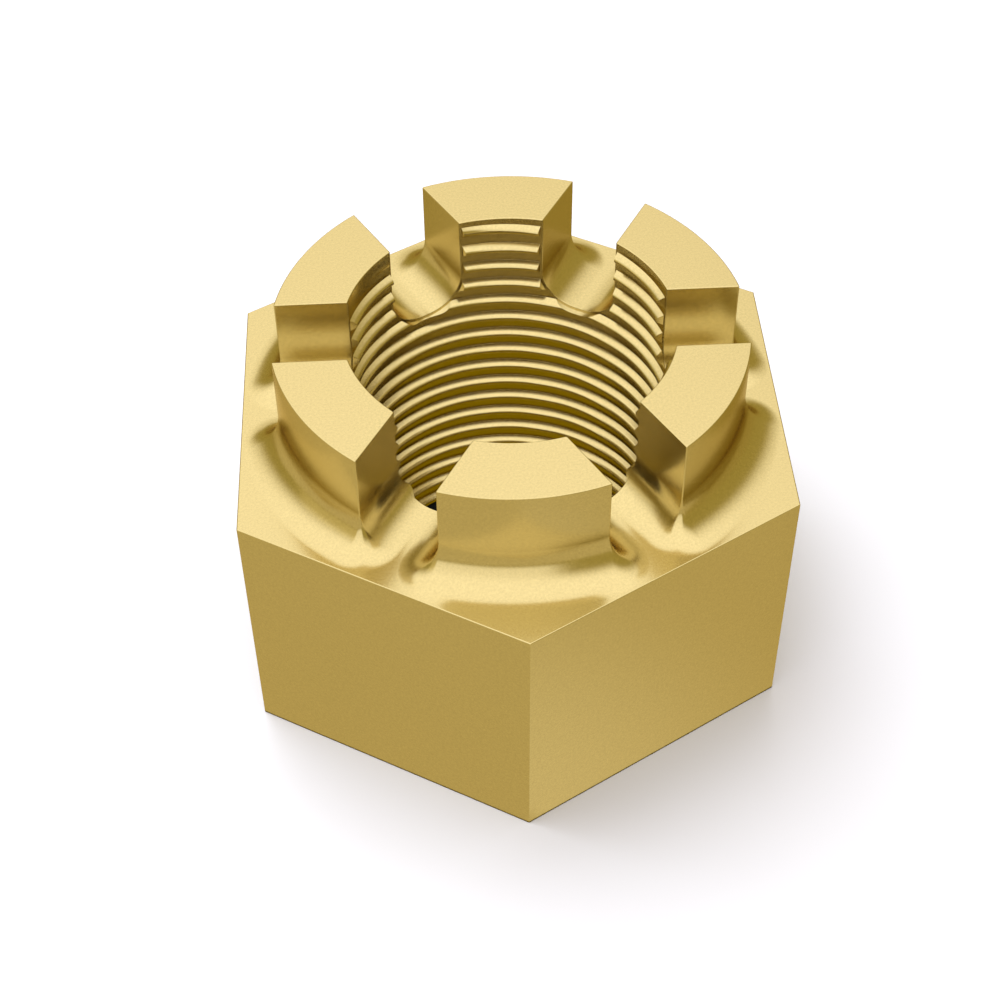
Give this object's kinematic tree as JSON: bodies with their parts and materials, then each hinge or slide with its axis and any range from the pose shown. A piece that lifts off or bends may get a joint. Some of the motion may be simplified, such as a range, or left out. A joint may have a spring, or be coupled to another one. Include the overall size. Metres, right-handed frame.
{
  "type": "castle nut",
  "caption": "Hexagonal castle nut: flat-sided body under a round crown slotted for a cotter pin, with a threaded through bore.",
  "frame": {"origin": "on the bore's axis, in the plane of the bearing face", "axes": "+Z along the bore from the bearing face towards the slotted crown; +X square to one flat, through the slot over it"},
  "size_m": [0.046, 0.0532, 0.0336],
  "materials": {
    "brass": "smooth, softly polished"
  },
  "bodies": {
    "root": {"castle_nut": "brass"}
  },
  "joints": []
}
